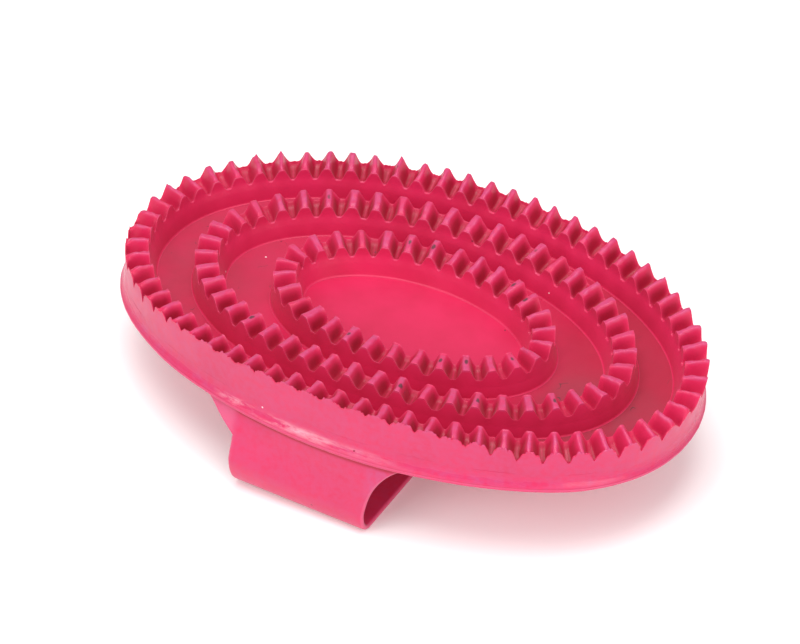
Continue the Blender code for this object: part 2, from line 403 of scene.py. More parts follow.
    speck_cells = nodes.new("ShaderNodeTexVoronoi")
    speck_cells.label = "Speck places"
    speck_cells.inputs["Scale"].default_value = 190.0
    speck_size = nodes.new("ShaderNodeMath")
    speck_size.label = "Speck size"
    speck_size.operation = "LESS_THAN"
    speck_size.inputs[1].default_value = 0.055
    speck_kind = nodes.new("ShaderNodeSeparateColor")
    speck_kind.label = "Kind of speck"
    pale_gate = nodes.new("ShaderNodeMath")
    pale_gate.label = "Few pale specks"
    pale_gate.operation = "GREATER_THAN"
    pale_gate.inputs[1].default_value = 0.86
    dark_gate = nodes.new("ShaderNodeMath")
    dark_gate.label = "Few dark specks"
    dark_gate.operation = "LESS_THAN"
    dark_gate.inputs[1].default_value = 0.12
    pale_specks = nodes.new("ShaderNodeMath")
    pale_specks.label = "Pale specks"
    pale_specks.operation = "MULTIPLY"
    dark_specks = nodes.new("ShaderNodeMath")
    dark_specks.label = "Dark specks"
    dark_specks.operation = "MULTIPLY"
    pale_mix = nodes.new("ShaderNodeMix")
    pale_mix.label = "Pale specks on the skin"
    pale_mix.data_type = "RGBA"
    pale_mix.inputs[7].default_value = (*colours.pale_speck, 1)
    dark_mix = nodes.new("ShaderNodeMix")
    dark_mix.label = "Dark specks on the skin"
    dark_mix.data_type = "RGBA"
    dark_mix.inputs[7].default_value = (*colours.dark_speck, 1)
    links.new(place.outputs["Object"], speck_cells.inputs["Vector"])
    links.new(speck_cells.outputs["Distance"], speck_size.inputs[0])
    links.new(speck_cells.outputs["Color"], speck_kind.inputs["Color"])
    links.new(speck_kind.outputs["Red"], pale_gate.inputs[0])
    links.new(speck_kind.outputs["Red"], dark_gate.inputs[0])
    links.new(speck_size.outputs[0], pale_specks.inputs[0])
    links.new(pale_gate.outputs[0], pale_specks.inputs[1])
    links.new(speck_size.outputs[0], dark_specks.inputs[0])
    links.new(dark_gate.outputs[0], dark_specks.inputs[1])
    links.new(pale_specks.outputs[0], pale_mix.inputs[0])
    links.new(grime_mix.outputs[2], pale_mix.inputs[6])
    links.new(dark_specks.outputs[0], dark_mix.inputs[0])
    links.new(pale_mix.outputs[2], dark_mix.inputs[6])

    hair_path = nodes.new("ShaderNodeTexNoise")
    hair_path.label = "Paths of short hairs"
    hair_path.inputs["Scale"].default_value = 150.0
    hair_path.inputs["Detail"].default_value = 1.0
    hair_off = nodes.new("ShaderNodeMath")
    hair_off.label = "Distance from a path"
    hair_off.operation = "COMPARE"
    hair_off.inputs[1].default_value = 0.5
    hair_off.inputs[2].default_value = 0.0045
    hair_spots = nodes.new("ShaderNodeTexNoise")
    hair_spots.label = "Where hairs lie"
    hair_spots.inputs["Scale"].default_value = 260.0
    hair_spots.inputs["Detail"].default_value = 0.0
    hair_gate = nodes.new("ShaderNodeMath")
    hair_gate.label = "Short lengths only"
    hair_gate.operation = "GREATER_THAN"
    hair_gate.inputs[1].default_value = 0.71
    hair_both = nodes.new("ShaderNodeMath")
    hair_both.label = "Hair lines"
    hair_both.operation = "MULTIPLY"
    hair_dusty = nodes.new("ShaderNodeMath")
    hair_dusty.label = "Only in the dust"
    hair_dusty.operation = "MULTIPLY"
    hair_amount = nodes.new("ShaderNodeMath")
    hair_amount.label = "Hair strength"
    hair_amount.operation = "MULTIPLY"
    hair_amount.use_clamp = True
    hair_amount.inputs[1].default_value = hairs
    hair_mix = nodes.new("ShaderNodeMix")
    hair_mix.label = "Hairs on the floor"
    hair_mix.data_type = "RGBA"
    hair_mix.inputs[7].default_value = (*colours.hair, 1)
    links.new(place.outputs["Object"], hair_path.inputs["Vector"])
    links.new(place.outputs["Object"], hair_spots.inputs["Vector"])
    links.new(hair_path.outputs["Fac"], hair_off.inputs[0])
    links.new(hair_spots.outputs["Fac"], hair_gate.inputs[0])
    links.new(hair_off.outputs[0], hair_both.inputs[0])
    links.new(hair_gate.outputs[0], hair_both.inputs[1])
    links.new(hair_both.outputs[0], hair_dusty.inputs[0])
    links.new(dust_mark.outputs["Fac"], hair_dusty.inputs[1])
    links.new(hair_dusty.outputs[0], hair_amount.inputs[0])
    links.new(hair_amount.outputs[0], hair_mix.inputs[0])
    links.new(dark_mix.outputs[2], hair_mix.inputs[6])

    gloss_frame = nodes.new("NodeFrame")
    gloss_frame.label = "Gloss"
    gloss_noise = nodes.new("ShaderNodeTexNoise")
    gloss_noise.label = "Handled patches"
    gloss_noise.inputs["Scale"].default_value = 210.0
    gloss_noise.inputs["Detail"].default_value = 5.0
    gloss_range = nodes.new("ShaderNodeMapRange")
    gloss_range.label = "Roughness of the skin"
    gloss_range.inputs["From Min"].default_value = 0.3
    gloss_range.inputs["From Max"].default_value = 0.7
    gloss_range.inputs["To Min"].default_value = roughness - 0.05
    gloss_range.inputs["To Max"].default_value = roughness + 0.07
    gloss_mark = nodes.new("ShaderNodeAttribute")
    gloss_mark.label = "Polished places"
    gloss_mark.attribute_name = "gloss"
    gloss_drop = nodes.new("ShaderNodeMath")
    gloss_drop.label = "Smoother where polished"
    gloss_drop.operation = "MULTIPLY_ADD"
    gloss_drop.inputs[1].default_value = -0.2
    dusty_rough = nodes.new("ShaderNodeMath")
    dusty_rough.label = "Duller where dusty"
    dusty_rough.operation = "MULTIPLY_ADD"
    dusty_rough.use_clamp = True
    dusty_rough.inputs[1].default_value = 0.22
    links.new(place.outputs["Object"], gloss_noise.inputs["Vector"])
    links.new(gloss_noise.outputs["Fac"], gloss_range.inputs["Value"])
    links.new(gloss_mark.outputs["Fac"], gloss_drop.inputs[0])
    links.new(gloss_range.outputs["Result"], gloss_drop.inputs[2])
    links.new(dust_fill.outputs[0], dusty_rough.inputs[0])
    links.new(gloss_drop.outputs[0], dusty_rough.inputs[2])

    grain_frame = nodes.new("NodeFrame")
    grain_frame.label = "Surface grain"
    swell = nodes.new("ShaderNodeTexNoise")
    swell.label = "Uneven moulding"
    swell.inputs["Scale"].default_value = 240.0
    swell.inputs["Detail"].default_value = 2.0
    swell_bump = nodes.new("ShaderNodeBump")
    swell_bump.label = "Low swells"
    swell_bump.inputs["Strength"].default_value = 0.16
    swell_bump.inputs["Distance"].default_value = 0.25 * MM
    grain = nodes.new("ShaderNodeTexNoise")
    grain.label = "Fine rubber grain"
    grain.inputs["Scale"].default_value = 2600.0
    grain.inputs["Detail"].default_value = 3.0
    grain_bump = nodes.new("ShaderNodeBump")
    grain_bump.label = "Fine grain relief"
    grain_bump.inputs["Strength"].default_value = 0.3
    grain_bump.inputs["Distance"].default_value = 0.05 * MM
    links.new(place.outputs["Object"], swell.inputs["Vector"])
    links.new(place.outputs["Object"], grain.inputs["Vector"])
    links.new(swell.outputs["Fac"], swell_bump.inputs["Height"])
    links.new(grain.outputs["Fac"], grain_bump.inputs["Height"])
    links.new(swell_bump.outputs["Normal"], grain_bump.inputs["Normal"])

    shader = nodes.new("ShaderNodeBsdfPrincipled")
    shader.label = "Rubber"
    shader.inputs["Specular IOR Level"].default_value = 0.34
    shader.inputs["IOR"].default_value = 1.5
    shader.inputs["Sheen Weight"].default_value = 0.06
    shader.inputs["Sheen Roughness"].default_value = 0.5
    output = nodes.new("ShaderNodeOutputMaterial")
    output.label = "Surface"
    links.new(hair_mix.outputs[2], shader.inputs["Base Color"])
    links.new(dusty_rough.outputs[0], shader.inputs["Roughness"])
    links.new(grain_bump.outputs["Normal"], shader.inputs["Normal"])
    links.new(shader.outputs["BSDF"], output.inputs["Surface"])
    layout = (
        (None, (place, shader, output)),
        (colour_frame, (mottling, mottling_range, skin_mix, painted_shade_mark, painted_shade_mix)),
        (wear_frame, (
            wear_highlight_mark, scuffs, scuff_range, wear_highlight_amount, wear_highlight_mix, dust_mark, dust_clouds, dust_range,
            dust_fill, dust_mix, burr_highlight_mark, burr_highlight_mix, scuff_highlight_mark, scuff_streaks, along_rim, scuff_cut,
            scuff_highlight_fill, scuff_highlight_mix,
        )),
        (dirt_frame, (
            grime_mark, grime_grain, grime_edge, grime_range, grime_mix, speck_cells, speck_size,
            speck_kind, pale_gate, dark_gate, pale_specks, dark_specks, pale_mix, dark_mix, hair_path,
            hair_off, hair_spots, hair_gate, hair_both, hair_dusty, hair_amount, hair_mix,
        )),
        (gloss_frame, (gloss_noise, gloss_range, gloss_mark, gloss_drop, dusty_rough)),
        (grain_frame, (swell, swell_bump, grain, grain_bump)),
    )
    across, down, in_row, top = 220, 320, 8, 0
    for group, members in layout:
        for number, node in enumerate(members):
            node.location = (across * (number % in_row), top - down * (number // in_row))
            node.parent = group
        top -= down * (len(members) // in_row + 1)
    return material


def tooth_rise(away, share, crest, look):
    """A tooth's height from 0 to 1 by its distance from the crest in pitches: a flat top and a flank
    (1 - t)^p. Over the wall's middle p is large, so the crest is a fin between sunken bowls; at the
    outer edge the flank is straighter, and at the inner edge it is an arch, the mean of 1 - t^1.6 and
    a smooth step."""
    outside = np.exp(-((share / 0.13) ** 2))
    inside = np.exp(-(((1 - share) / 0.14) ** 2))
    fall = np.clip((np.abs(away) - crest) / (0.5 - crest - look["valley"]), 0, 1)
    flank = (1 - fall) ** (look["fin"] + (look["point"] - look["fin"]) * outside)
    bowl = look["bowl"] * eased(fall, 0.25, 0.95) * np.clip(1 - outside - inside, 0, 1)
    arch = 0.5 * (1 - fall**1.6) + 0.5 * (1 - eased(fall, 0, 1))
    return flank * (1 - inside) + inside * arch - bowl


def torn_film(base, away, half_width):
    """Height of the torn skin left along the wall's outer edge, 0 to 1 of a tooth: full height over
    the near left, sinking to domes cut by notches near the right, and a low web on the far side.
    Also how far the soft crests sink at their outer ends there, in the same units."""
    count = len(base)
    x, y = base[:, 0] / MM, base[:, 1]
    near = eased(-y / half_width, -0.05, 0.3)
    domes = np.interp(
        x,
        [-80, -60, -48, -38, 15, 25, 35, 42, 48, 55, 62, 70, 78],
        [0.60, 0.62, 0.82, 0.97, 0.97, 0.87, 0.70, 0.57, 0.42, 0.32, 0.30, 0.35, 0.5],
    )
    sunk = near * np.interp(
        x, [15, 25, 35, 42, 48, 55, 62, 70, 78], [0, 0.11, 0.28, 0.42, 0.56, 0.68, 0.7, 0.65, 0.4]
    )
    notch = np.interp(x, [-80, -60, -48, -38, 25, 42, 50, 80], [0.5, 0.7, 0.45, 0.22, 0.25, 0.35, 0.5, 0.5])
    slope = np.interp(x, [30, 42, 55], [0.10, 0.25, 0.45])
    cut = notch * np.exp(-(((0.5 - np.abs(away)) / 0.13) ** 2))
    shape = domes - slope * (2 * np.abs(away)) ** 1.5 - cut
    torn = 0.10 * ragged(count, 420, 11) + 0.09 * ragged(count, 1100, 12)
    return near * (shape + torn) + (1 - near) * (0.07 + 0.5 * torn) + sunk, near, sunk


def tooth_ring_points(box, power, teeth, first, sizes, look):
    """The wall's closed section carried round the oval: up the outer face, over the teeth, down the
    inner face to the foot's fillet, and back underneath. Heights over the plate's underside."""
    count = teeth * STATIONS_PER_TOOTH
    base, normals = oval_path(box[1].x, box[1].y, power, count, first * STATIONS_PER_TOOTH)
    step = np.arange(count) / STATIONS_PER_TOOTH
    tooth = np.round(step).astype(int) % teeth
    away = step - np.round(step)
    rng = np.random.default_rng(look["seed"])
    lean, skew = rng.normal(0, 0.02, teeth), rng.normal(0, 0.05, teeth)
    tall = 1 - np.abs(rng.normal(0, look["uneven"], teeth))
    crest = (look["crest"] * rng.uniform(0.78, 1.22, teeth))[tooth][:, None]
    width, height = sizes.crest_width, sizes.tooth_height
    valley_top = sizes.crest_top - height
    floor = sizes.floor_top

    over = np.array(
        [0, 0.1, 0.26, 0.42, 0.62, 0.95, 1.4, 2, 2.6, 3.2, 3.8, 4.4, 4.9, 5.25, 5.5, 5.66, 5.78, 5.86]
    )
    over = over * width / over[-1]
    share = over / width
    shift = (lean[tooth] * np.cos(np.pi * away))[:, None] + skew[tooth][:, None] * (share - 0.5)
    spread = np.stack(np.broadcast_arrays(step[:, None] * TOOTH_PITCH, over, 0.0), -1)
    wobble = 0.03 * wander(spread, 3.2 * MM, look["seed"] + 1)
    rise = tooth_rise(away[:, None] - shift - wobble, share[None] + 0 * shift, crest, look)
    rise = settled(rise) * tall[tooth][:, None]
    rise *= 1 - 0.07 * eased(np.abs(share - 0.45), 0.3, 0.5)
    lift = 0.13 * MM * wander(spread, 2.0 * MM, look["seed"] + 2) * (0.3 + 0.7 * rise)
    sink = np.zeros(count)
    if look["film"]:
        film, near, sink = torn_film(base, away, box[1].y)
        at_edge = near[:, None] * np.exp(-((over / (1.1 * MM)) ** 2))
        rise += (np.minimum(rise, film[:, None]) - rise) * at_edge
        at_skin = over <= 0.3 * MM
        raised = np.maximum(rise[:, at_skin], film[:, None])
        rise[:, at_skin] = raised + near[:, None] * (film[:, None] - raised)
        nib = np.isin(tooth, look["nibs"])[:, None] * np.exp(-((away[:, None] / 0.045) ** 2))
        lift += 0.7 * MM * nib * np.exp(-((over / (0.3 * MM)) ** 2))
    else:
        outer_burr = 0.10 * MM * (0.55 + 0.45 * ragged(count, teeth * 5, look["seed"] + 3))
        lift += outer_burr[:, None] * np.exp(-(((over - 0.12 * MM) / (0.13 * MM)) ** 2))
    inner_burr = 0.13 * MM * (0.6 + 0.4 * ragged(count, teeth * 5, look["seed"] + 4))
    lift += inner_burr[:, None] * np.exp(-(((width - over - 0.08 * MM) / (0.12 * MM)) ** 2))
    tilt = 0.9 * MM - 1.3 * MM * eased(-base[:, 1] / box[1].y, -0.5, 0.5)
    top = valley_top + height * rise + lift - tilt[:, None] * np.clip(share - 0.2, 0, 1) / 0.8
    top -= height * sink[:, None] * (1 - share) ** 1.3

    low = valley_top - 2.2 * MM
    radius = sizes.foot_radius
    turn = np.radians(np.array([0, 15, 30, 45, 60, 75, 90]))
    draft, upper_draft, outer_draft = 1.8 * MM, 0.9 * MM, 0.6 * MM
    step_up = 0.07 * MM
    face = np.array([0.15, 0.35, 0.55, 0.75, 0.9, 1.0])
    face_low = floor + step_up + radius

    column = np.zeros((count, 1))
    offsets, heights = [], []

    def add(offset, height):
        """One more line of the section, at an offset in from the outer edge and a height."""
        offsets.append(offset + column)
        heights.append(height + column)

    if look["film"]:
        bottom = floor - 2.6 * MM
        for part in (0, 0.2, 0.45, 0.7, 0.88, 1.0):
            add(0, bottom + (low - bottom) * part)
    else:
        for sine, cosine in zip(np.sin(turn[::-1]), np.cos(turn[::-1])):
            add(-outer_draft - radius * (1 - cosine), floor + step_up + radius * (1 - sine))
        for part in face[1:]:
            add(-outer_draft * (1 - part), face_low + (low - face_low) * part)
    for part in (0.5, 0.85):
        add(0, low + (top[:, :1] - low) * part)
    outer_rows = len(offsets)
    add(over, top)
    for part in (0.97, 0.9, 0.6, 0.3):
        up_face = low + (top[:, -1:] - low) * part
        below = np.clip((valley_top - up_face) / (valley_top - low), 0, 1)
        add(width + 0.04 * MM * (part > 0.8) + upper_draft * below, up_face)
    for part in face[::-1]:
        add(width + draft - (draft - upper_draft) * part, face_low + (low - face_low) * part)
    for sine, cosine in zip(np.sin(turn[1:]), np.cos(turn[1:])):
        add(width + draft + radius * (1 - cosine), floor + step_up + radius * (1 - sine))
    add(width + draft + radius + 0.02 * MM, floor - 0.25 * MM)
    add(width * 0.5, floor - 0.3 * MM)
    if not look["film"]:
        add(-outer_draft - radius - 0.02 * MM, floor - 0.25 * MM)
    offsets, heights = np.concatenate(offsets, 1), np.concatenate(heights, 1)

    level = np.arange(offsets.shape[1]) * 0.4 * MM
    raw = np.stack(np.broadcast_arrays(base[:, None, 0], base[:, None, 1], level), -1)
    offsets = offsets + 0.05 * MM * wander(raw, 14 * MM, look["seed"] + 7)
    x = base[:, None, 0] - offsets * normals[:, None, 0]
    y = base[:, None, 1] - offsets * normals[:, None, 1]
    points = seated(x, y, heights)

    marks = {mark: np.zeros(offsets.shape, np.float32) for mark in MARKS}
    on_top = slice(outer_rows, outer_rows + len(over))
    clean = np.clip(rise, 0, 1)
    # Crest tops paler from wear; the torn outer face gets a paler tone all over.
    marks["wear_and_highlight"][:, on_top] = 0.95 * eased(clean, 0.78, 0.97)
    if look["film"]:
        marks["wear_and_highlight"][:, :outer_rows] = 0.6
    amid = np.clip(1 - np.exp(-((share / 0.16) ** 2)) - np.exp(-(((1 - share) / 0.16) ** 2)), 0, 1)
    trough = np.exp(-(((0.5 - np.abs(away)) / 0.035) ** 2))[:, None] * amid
    marks["dust"][:, on_top] = VALLEY_DUST * trough
    at_ends = eased(np.abs(normals[:, 0]), 0.45, 0.9)[:, None]
    # Painted shade: darker, deeper red down in the bowls between the teeth, less at the ends, where the
    # teeth are seen side on.
    deep = eased(-clean, -0.75, -0.25) * amid * (1 - 0.8 * trough)
    marks["painted_shade"][:, on_top] = deep * (0.85 - 0.6 * at_ends)
    marks["gloss"][:, on_top] = np.maximum(0.35 * eased(clean, 0.8, 1.0), 0.5 * trough)
    inner_broken = 0.55 + 0.45 * ragged(count, teeth * 5, look["seed"] + 4)
    burr_and_highlight = np.exp(-(((width - over) / (0.16 * MM)) ** 2)) * inner_broken[:, None]
    if not look["film"]:
        outer_broken = 0.5 + 0.5 * ragged(count, teeth * 5, look["seed"] + 3)
        burr_and_highlight += np.exp(-((over / (0.16 * MM)) ** 2)) * outer_broken[:, None]
    fading = 1 - 0.7 * eased(base[:, 0], 10 * MM, 50 * MM)[:, None]
    # Pale moulding edges, less on the right, plus a faint painted highlight along each valley floor.
    marks["burr_and_highlight"][:, on_top] = np.clip(burr_and_highlight, 0, 1) * 0.6 * fading + 0.05 * trough
    after = outer_rows + len(over)
    marks["burr_and_highlight"][:, after : after + 1] = 0.25 * fading
    foot_row = offsets.shape[1] - (3 if look["film"] else 4)
    marks["burr_and_highlight"][:, foot_row : foot_row + 2] = 0.5 * fading
    if not look["film"]:
        marks["burr_and_highlight"][:, 0] = 0.5
        marks["burr_and_highlight"][:, -1] = 0.5
    dirt = np.zeros(teeth)
    dirt[list(look["dirty"])] = look["dirty_strength"]
    centre = rng.uniform(0.35, 0.6, teeth)[tooth][:, None] * width
    aside = (away[:, None] - rng.uniform(-0.04, 0.08, teeth)[tooth][:, None]) * TOOTH_PITCH
    blob = np.exp(-(((over - centre) / (0.95 * MM)) ** 2) - (aside / (0.62 * MM)) ** 2)
    marks["grime"][:, on_top] = dirt[tooth][:, None] * blob
    return points, marks


def make_tooth_ring(name, box, power, teeth, first, look):
    sizes = bpy.context.scene.comb_sizes
    points, marks = tooth_ring_points(box, power, teeth, first, sizes, look)
    faces = grid_quads(points.shape[0], points.shape[1], True, True).tolist()
    material = rubber_material(name + "_rubber", look["roughness"], 0.55, 0.6, 0.0)
    return skin_piece(name + "_skin", points, faces, marks, 48, material, [name])


class COMB_OT_backing_plate(bpy.types.Operator):
    """Adds the dished floor of the pad"""

    bl_idname = "comb.backing_plate"
    bl_label = "Backing Plate"

    def execute(self, context):
        """A disc on a grid of shares of the oval by turns round it: out along the underside, up the
        hidden edge and back along the floor, each height following the dish."""
        sizes = context.scene.comb_sizes
        turns, spokes = 240, 44
        base, normals = oval_path(OUTER_BOX[1].x, OUTER_BOX[1].y, OUTER_POWER, turns)
        edge = base - 2.4 * MM * normals
        spans = np.sin(np.linspace(0.03, np.pi / 2, spokes)) ** 0.9
        shares = np.concatenate([spans, spans[::-1]])
        floor = sizes.floor_top
        heights = np.concatenate([np.zeros(spokes), np.full(spokes, floor)])
        xy = edge[None] * shares[:, None, None]
        flat = np.concatenate([xy, np.zeros((*xy.shape[:2], 1))], 2)
        swell = 0.06 * MM * wander(flat, 26 * MM, 31) + 0.02 * MM * wander(flat, 7 * MM, 32)
        points = seated(xy[..., 0], xy[..., 1], heights[:, None] + swell)
        rows = len(shares)
        faces = grid_quads(rows, turns, False, True)[:, ::-1].tolist()
        centre = seated(np.zeros(2), np.zeros(2), np.array([0, floor]))
        bottom, top, last = rows * turns, rows * turns + 1, (rows - 1) * turns
        ring = np.arange(turns)
        following = (ring + 1) % turns
        faces += np.stack([np.full(turns, bottom), following, ring], 1).tolist()
        faces += np.stack([np.full(turns, top), last + ring, last + following], 1).tolist()
        far_right = eased(xy[..., 1], -2 * MM, 14 * MM) * eased(xy[..., 0], 0, 20 * MM)
        ends = eased(np.abs(xy[..., 0]), 30 * MM, 52 * MM) * (1 - 0.75 * far_right)
        ends *= 1 + 0.2 * np.sign(xy[..., 0])
        upper = (heights[:, None] > 0.5 * floor) * np.ones_like(ends)
        marks = {
            "dust": ends * upper,
            "gloss": 0.5 * upper * (1 - ends),
            # Painted shade: the channels outside the inner ring darkened towards the right, where the walls
            # shade the floor.
            "painted_shade": 0.55 * upper * eased(shares, 0.42, 0.6)[:, None] * eased(xy[..., 0], 8 * MM, 45 * MM),
        }
        material = rubber_material("backing_plate_rubber", 0.5, 0.5, 0.6, 0.9)
        every_point = np.concatenate([points.reshape(-1, 3), centre])
        skin_piece(
            "backing_plate_skin", every_point, faces, marks, 60, material, ["backing_plate"]
        )
        return {"FINISHED"}


class COMB_OT_rim_lip(bpy.types.Operator):
    """Adds the thin lip and the cove above it"""

    bl_idname = "comb.rim_lip"
    bl_label = "Rim Lip"

    def execute(self, context):
        """A closed section round the oval: the cove leaves the wall as (1 - t)^2.3 of the reach, a
        half-round edge turns under, and the hidden side closes it inside the wall."""
        sizes = context.scene.comb_sizes
        count = 720
        base, normals = oval_path(OUTER_BOX[1].x, OUTER_BOX[1].y, OUTER_POWER, count)
        reach, start, edge = sizes.lip_reach, 4.6 * MM, 1.15 * MM
        cove_rows, round_rows = 18, 12
        share = np.linspace(1, 0, cove_rows)
        cove_out = reach * 0.86 * (1 - share) ** 2.3 + 0.012 * MM
        cove_up = edge + (start - edge) * share
        turn = np.radians(np.linspace(68, -90, round_rows))
        half = 0.5 * edge
        round_out = reach - half + half * np.cos(turn)
        round_up = half + half * np.sin(turn)
        out = np.concatenate([[-0.4 * MM], cove_out, round_out, [0, -2.3 * MM, -2.3 * MM]])
        up = np.concatenate([[start], cove_up, round_up, [0, 0, start - 0.3 * MM]])
        wave = np.concatenate([[0], (1 - share) ** 2, np.ones(round_rows), np.zeros(3)])
        ring = np.concatenate([base, np.zeros((count, 1))], 1)
        waver = -0.12 * MM * (1 + wander(ring, 24 * MM, 41)) - 0.035 * MM * (1 + ragged(count, 260, 42))
        out = out[None] + waver[:, None] * wave
        x = base[:, None, 0] + out * normals[:, None, 0]
        y = base[:, None, 1] + out * normals[:, None, 1]
        heights = np.tile(up, (count, 1))
        points = seated(x, y, heights)
        points[..., 2] -= lip_sag(x, y, heights)
        faces = grid_quads(count, len(up), True, True)[:, ::-1].tolist()
        row, lower_cove, outer_edge = np.arange(len(up)), 13, 22
        cove = np.exp(-(((row - lower_cove) / 4.0) ** 2))
        patchy_strip = eased(wander(ring, 9 * MM, 43), -0.5, 0.7)
        front = eased(-base[:, 1] / OUTER_BOX[1].y, 0.2, 0.8)
        scuff_highlight_reach = np.interp(base[:, 0] / MM, [-32, -25, 0, 6, 14, 26], [0, 0.9, 0.85, 0.35, 0.3, 0])
        marks = {
            "gloss": np.tile(cove, (count, 1)),
            # Painted highlight: the paler colour in patches over the front of the cove, on top of the lip's
            # base tone.
            "wear_and_highlight": 0.55 + 0.45 * cove * (patchy_strip * front)[:, None],
            # Whitened streaks in the cove's front, real scuffing together with a painted highlight, from
            # left of the strap to just right of its middle.
            "scuff_and_highlight": cove * (front * scuff_highlight_reach)[:, None],
            "burr_and_highlight": np.tile(np.exp(-(((row - outer_edge) / 2.2) ** 2)) * 0.45, (count, 1)),
        }
        material = rubber_material("rim_lip_rubber", 0.4, 0.35, 0.3, 0.0)
        skin_piece("rim_lip_skin", points, faces, marks, 50, material, ["rim_lip"])
        return {"FINISHED"}


class COMB_OT_outer_teeth(bpy.types.Operator):
    """Adds the outer ring of teeth with its torn skin"""

    bl_idname = "comb.outer_teeth"
    bl_label = "Outer Ring of Teeth"

    def execute(self, context):
        look = dict(
            seed=101, crest=0.085, valley=0.09, fin=2.3, point=1.5, bowl=0.26, uneven=0.05, film=True,
            dirty=(20, 26), dirty_strength=(0.6, 0.5), nibs=(7, 20, 25, 26, 30, 33), roughness=0.42,
        )
        make_tooth_ring("outer_tooth_ring", OUTER_BOX, OUTER_POWER, 64, 0.62, look)
        return {"FINISHED"}


class COMB_OT_inner_teeth(bpy.types.Operator):
    """Adds the middle and inner rings of teeth"""

    bl_idname = "comb.inner_teeth"
    bl_label = "Middle and Inner Rings of Teeth"

    def execute(self, context):
        middle = dict(
            seed=202, crest=0.115, valley=0.1, fin=2.2, point=1.1, bowl=0.3, uneven=0.05, film=False,
            dirty=(8, 17, 29, 36, 39, 42), dirty_strength=(0.6, 0.75, 1, 1, 0.9, 0.9), roughness=0.45,
        )
        make_tooth_ring(
            "middle_tooth_ring", MIDDLE_BOX, MIDDLE_POWER, 46, 0.71, middle
        )
        inner = dict(
            seed=303, crest=0.115, valley=0.1, fin=2.1, point=1.1, bowl=0.28, uneven=0.07, film=False,
            dirty=(3, 4, 8, 9, 21, 25, 26, 28), dirty_strength=(1, 0.9, 1, 0.8, 0.8, 0.9, 1, 0.8),
            roughness=0.45,
        )
        make_tooth_ring("inner_tooth_ring", INNER_BOX, INNER_POWER, 30, 0.41, inner)
        return {"FINISHED"}


def strap_centre(across, share, sizes):
    """Centre surface of the near leg, root at share 0, bulge at share 1. The band widens to the
    root as exp(-depth) on the right and as a straight web on the left. Its root follows the sagging
    near lip, so the far leg, its mirror image, stops up to 1.6 mm short of the far lip."""
    bulge_up = (8.3 - 1.7 * across) * MM
    depth = share * (REST_DROP + 3 * MM - bulge_up)
    right = sizes.strap_half_width + 10.5 * MM * np.exp(-depth / (6.5 * MM))
    left = sizes.strap_half_width + 0.9 * MM + 11 * MM * np.clip(1 - depth / (7.5 * MM), 0, 1) ** 1.15
    across = across + 0 * depth
    from_middle = np.where(across > 0, across * right, across * left)
    x = sizes.strap_offset + from_middle
    web = np.clip((np.abs(from_middle) - sizes.strap_half_width) / (9 * MM), 0, 1)
    side = OUTER_BOX[1].y
    root = side * (1 - np.abs(x / OUTER_BOX[1].x) ** OUTER_POWER) ** (1 / OUTER_POWER)
    band = 49.9 * MM + (1.9 - 0.7 * across) * MM * eased(share, 0.35, 1.1)
    y = root + (band - root) * eased(share, 0, 0.5)
    start = REST_DROP + DISH_RISE * (root / DISH_AT) ** 2 + 0.5 * MM - lip_sag(x, -root, 0 * x)
    z = start + (bulge_up - start) * share
    return np.stack([x, -y, z], -1), web


